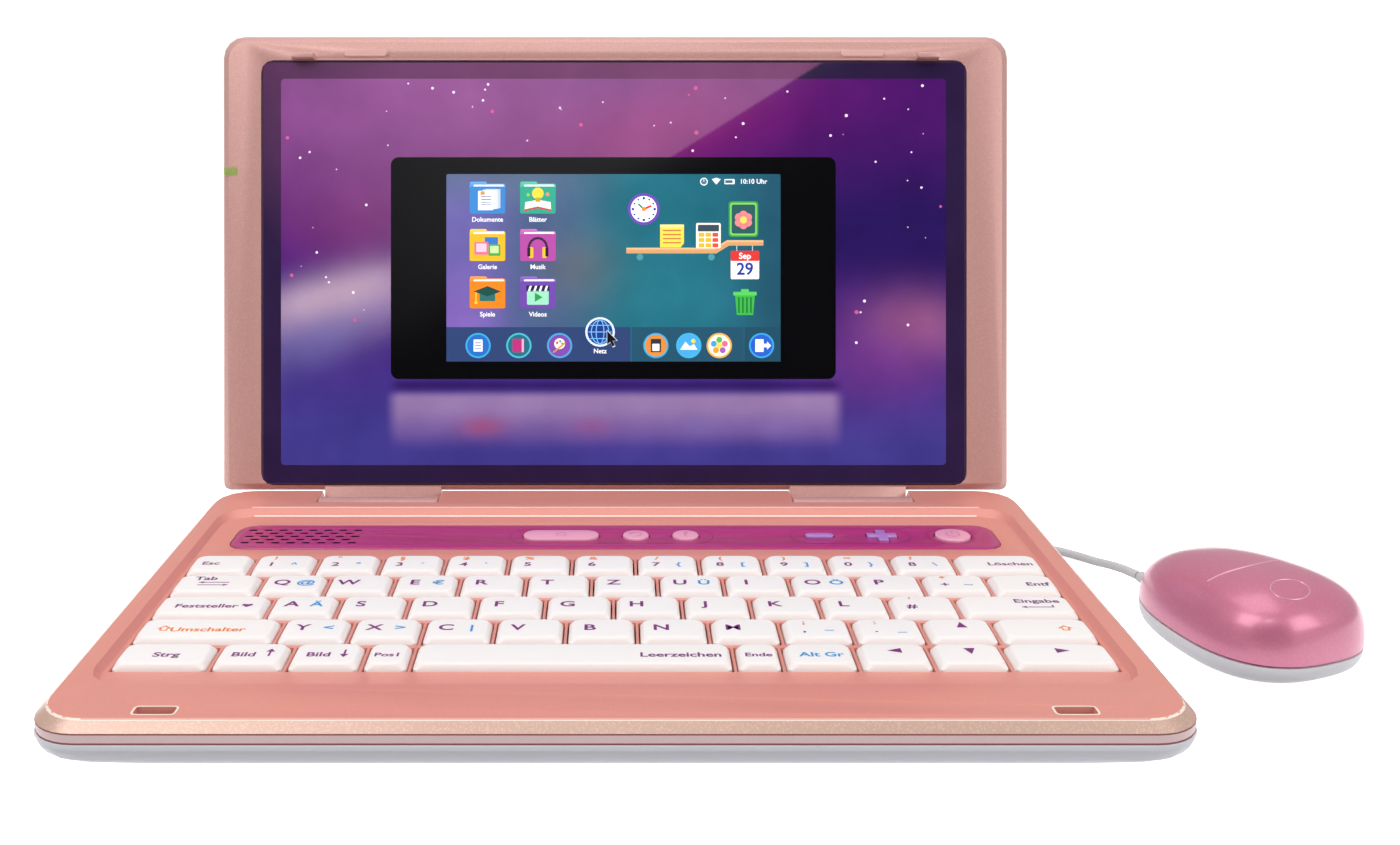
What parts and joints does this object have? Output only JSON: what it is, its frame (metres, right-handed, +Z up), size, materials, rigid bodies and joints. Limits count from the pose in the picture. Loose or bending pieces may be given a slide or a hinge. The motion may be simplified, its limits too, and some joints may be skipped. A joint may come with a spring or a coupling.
{
  "type": "toy laptop computer",
  "caption": "Toy laptop with a hinged lid and small screen, a pressable keyboard, a speaker and button strip, and a corded one-button mouse.",
  "frame": {"origin": "middle of the flat underside of the base; the rubber feet and the mouse stand 1.5 mm below it", "axes": "+X to the user's right along the hinge, +Y away from the user, +Z up"},
  "size_m": [0.3433, 0.2265, 0.1702],
  "materials": {
    "rose_shell": "pearl rose, satin",
    "rose_lid": "pearl rose with fine flake, satin",
    "white_shell": "cool white, satin",
    "magenta_strip": "gloss magenta",
    "key_white": "warm white with printed legends",
    "button_pink": "translucent pink",
    "window": "gloss pane with a printed night sky",
    "display": "black display module",
    "steel": "plated steel",
    "rubber": "soft black",
    "board": "green circuit board",
    "membrane": "printed film",
    "cell": "wrapped cell",
    "mouse_pink": "pearl pink",
    "cord_grey": "light grey jacket"
  },
  "bodies": {
    "base": {"base_bottom_cover": "white_shell", "base_top_cover": "rose_shell", "battery_1": "cell", "battery_2": "cell", "battery_3": "cell", "battery_4": "cell", "battery_door": "white_shell", "battery_door_screw": "steel", "control_strip": "magenta_strip", "cord_coil": "cord_grey", "cord_lead": "cord_grey", "cord_relief": "cord_grey", "cord_to_mouse": "cord_grey", "hinge_pin_left": "steel", "hinge_pin_right": "steel", "keyboard_membrane": "membrane", "main_board": "board", "power_jack": "rubber", "rubber_foot_1": "rubber", "rubber_foot_2": "rubber", "rubber_foot_3": "rubber", "rubber_foot_4": "rubber", "speaker": "rubber"},
    "lid": {"lid_front_bezel": "rose_lid", "lid_back_cover": "rose_lid", "screen_window": "window", "lcd_module": "display"},
    "mouse": {"mouse_bottom_cover": "white_shell", "mouse_board": "board", "mouse_cord_relief": "cord_grey"},
    "mouse_top": {"mouse_top_cover": "mouse_pink"},
    "alt_gr_key": {"alt_gr_key": "key_white"},
    "arrow_down_key": {"arrow_down_key": "key_white"},
    "arrow_left_key": {"arrow_left_key": "key_white"},
    "arrow_right_key": {"arrow_right_key": "key_white"},
    "arrow_up_key": {"arrow_up_key": "key_white"},
    "back_button": {"back_button": "button_pink"},
    "backspace_key": {"backspace_key": "key_white"},
    "caps_lock_key": {"caps_lock_key": "key_white"},
    "ctrl_key": {"ctrl_key": "key_white"},
    "delete_key": {"delete_key": "key_white"},
    "end_key": {"end_key": "key_white"},
    "enter_key": {"enter_key": "key_white"},
    "escape_key": {"escape_key": "key_white"},
    "help_button": {"help_button": "button_pink"},
    "home_button": {"home_button": "button_pink"},
    "home_key": {"home_key": "key_white"},
    "letter_keys_a_row": {"letter_keys_a_row": "key_white"},
    "letter_keys_q_row": {"letter_keys_q_row": "key_white"},
    "letter_keys_y_row": {"letter_keys_y_row": "key_white"},
    "number_keys": {"number_keys": "key_white"},
    "page_down_key": {"page_down_key": "key_white"},
    "page_up_key": {"page_up_key": "key_white"},
    "power_button": {"power_button": "button_pink"},
    "shift_left_key": {"shift_left_key": "key_white"},
    "shift_right_key": {"shift_right_key": "key_white"},
    "space_key": {"space_key": "key_white"},
    "tab_key": {"tab_key": "key_white"},
    "volume_down_button": {"volume_down_button": "button_pink"},
    "volume_up_button": {"volume_up_button": "button_pink"}
  },
  "joints": [
    {"name": "lid_hinge", "type": "hinge", "parent": "base", "child": "lid", "pos_m": [0, 0.0736, 0.0177], "axis": [1, 0, 0], "range_deg": [-3, 105]},
    {"name": "mouse_slide", "type": "slide", "parent": "base", "child": "mouse", "axis": [0, -1, 0], "range_m": [0, 0.015]},
    {"name": "mouse_click", "type": "hinge", "parent": "mouse", "child": "mouse_top", "pos_m": [0.19368, -0.00827, 0.005], "axis": [-0.9212, -0.3891, 0], "range_deg": [0, 0.4], "stiffness_Nm_per_rad": 8, "springref_deg": -0.11},
    {"name": "alt_gr_key_press", "type": "slide", "parent": "base", "child": "alt_gr_key", "axis": [0, 0, -1], "range_m": [0, 0.0012], "stiffness_N_per_m": 500, "springref_m": -0.0003},
    {"name": "arrow_down_key_press", "type": "slide", "parent": "base", "child": "arrow_down_key", "axis": [0, 0, -1], "range_m": [0, 0.0012], "stiffness_N_per_m": 500, "springref_m": -0.0003},
    {"name": "arrow_left_key_press", "type": "slide", "parent": "base", "child": "arrow_left_key", "axis": [0, 0, -1], "range_m": [0, 0.0012], "stiffness_N_per_m": 500, "springref_m": -0.0003},
    {"name": "arrow_right_key_press", "type": "slide", "parent": "base", "child": "arrow_right_key", "axis": [0, 0, -1], "range_m": [0, 0.0012], "stiffness_N_per_m": 500, "springref_m": -0.0003},
    {"name": "arrow_up_key_press", "type": "slide", "parent": "base", "child": "arrow_up_key", "axis": [0, 0, -1], "range_m": [0, 0.0012], "stiffness_N_per_m": 500, "springref_m": -0.0003},
    {"name": "back_button_press", "type": "slide", "parent": "base", "child": "back_button", "axis": [0, 0, -1], "range_m": [0, 0.0008], "stiffness_N_per_m": 500, "springref_m": -0.0003},
    {"name": "backspace_key_press", "type": "slide", "parent": "base", "child": "backspace_key", "axis": [0, 0, -1], "range_m": [0, 0.0012], "stiffness_N_per_m": 500, "springref_m": -0.0003},
    {"name": "caps_lock_key_press", "type": "slide", "parent": "base", "child": "caps_lock_key", "axis": [0, 0, -1], "range_m": [0, 0.0012], "stiffness_N_per_m": 500, "springref_m": -0.0003},
    {"name": "ctrl_key_press", "type": "slide", "parent": "base", "child": "ctrl_key", "axis": [0, 0, -1], "range_m": [0, 0.0012], "stiffness_N_per_m": 500, "springref_m": -0.0003},
    {"name": "delete_key_press", "type": "slide", "parent": "base", "child": "delete_key", "axis": [0, 0, -1], "range_m": [0, 0.0012], "stiffness_N_per_m": 500, "springref_m": -0.0003},
    {"name": "end_key_press", "type": "slide", "parent": "base", "child": "end_key", "axis": [0, 0, -1], "range_m": [0, 0.0012], "stiffness_N_per_m": 500, "springref_m": -0.0003},
    {"name": "enter_key_press", "type": "slide", "parent": "base", "child": "enter_key", "axis": [0, 0, -1], "range_m": [0, 0.0012], "stiffness_N_per_m": 500, "springref_m": -0.0003},
    {"name": "escape_key_press", "type": "slide", "parent": "base", "child": "escape_key", "axis": [0, 0, -1], "range_m": [0, 0.0012], "stiffness_N_per_m": 500, "springref_m": -0.0003},
    {"name": "help_button_press", "type": "slide", "parent": "base", "child": "help_button", "axis": [0, 0, -1], "range_m": [0, 0.0008], "stiffness_N_per_m": 500, "springref_m": -0.0003},
    {"name": "home_button_press", "type": "slide", "parent": "base", "child": "home_button", "axis": [0, 0, -1], "range_m": [0, 0.0008], "stiffness_N_per_m": 500, "springref_m": -0.0003},
    {"name": "home_key_press", "type": "slide", "parent": "base", "child": "home_key", "axis": [0, 0, -1], "range_m": [0, 0.0012], "stiffness_N_per_m": 500, "springref_m": -0.0003},
    {"name": "letter_keys_a_row_press", "type": "slide", "parent": "base", "child": "letter_keys_a_row", "axis": [0, 0, -1], "range_m": [0, 0.0012], "stiffness_N_per_m": 2000, "springref_m": -0.0003},
    {"name": "letter_keys_q_row_press", "type": "slide", "parent": "base", "child": "letter_keys_q_row", "axis": [0, 0, -1], "range_m": [0, 0.0012], "stiffness_N_per_m": 2000, "springref_m": -0.0003},
    {"name": "letter_keys_y_row_press", "type": "slide", "parent": "base", "child": "letter_keys_y_row", "axis": [0, 0, -1], "range_m": [0, 0.0012], "stiffness_N_per_m": 2000, "springref_m": -0.0003},
    {"name": "number_keys_press", "type": "slide", "parent": "base", "child": "number_keys", "axis": [0, 0, -1], "range_m": [0, 0.0012], "stiffness_N_per_m": 2000, "springref_m": -0.0003},
    {"name": "page_down_key_press", "type": "slide", "parent": "base", "child": "page_down_key", "axis": [0, 0, -1], "range_m": [0, 0.0012], "stiffness_N_per_m": 500, "springref_m": -0.0003},
    {"name": "page_up_key_press", "type": "slide", "parent": "base", "child": "page_up_key", "axis": [0, 0, -1], "range_m": [0, 0.0012], "stiffness_N_per_m": 500, "springref_m": -0.0003},
    {"name": "power_button_press", "type": "slide", "parent": "base", "child": "power_button", "axis": [0, 0, -1], "range_m": [0, 0.0008], "stiffness_N_per_m": 500, "springref_m": -0.0003},
    {"name": "shift_left_key_press", "type": "slide", "parent": "base", "child": "shift_left_key", "axis": [0, 0, -1], "range_m": [0, 0.0012], "stiffness_N_per_m": 500, "springref_m": -0.0003},
    {"name": "shift_right_key_press", "type": "slide", "parent": "base", "child": "shift_right_key", "axis": [0, 0, -1], "range_m": [0, 0.0012], "stiffness_N_per_m": 500, "springref_m": -0.0003},
    {"name": "space_key_press", "type": "slide", "parent": "base", "child": "space_key", "axis": [0, 0, -1], "range_m": [0, 0.0012], "stiffness_N_per_m": 500, "springref_m": -0.0003},
    {"name": "tab_key_press", "type": "slide", "parent": "base", "child": "tab_key", "axis": [0, 0, -1], "range_m": [0, 0.0012], "stiffness_N_per_m": 500, "springref_m": -0.0003},
    {"name": "volume_down_button_press", "type": "slide", "parent": "base", "child": "volume_down_button", "axis": [0, 0, -1], "range_m": [0, 0.0008], "stiffness_N_per_m": 500, "springref_m": -0.0003},
    {"name": "volume_up_button_press", "type": "slide", "parent": "base", "child": "volume_up_button", "axis": [0, 0, -1], "range_m": [0, 0.0008], "stiffness_N_per_m": 500, "springref_m": -0.0003}
  ]
}
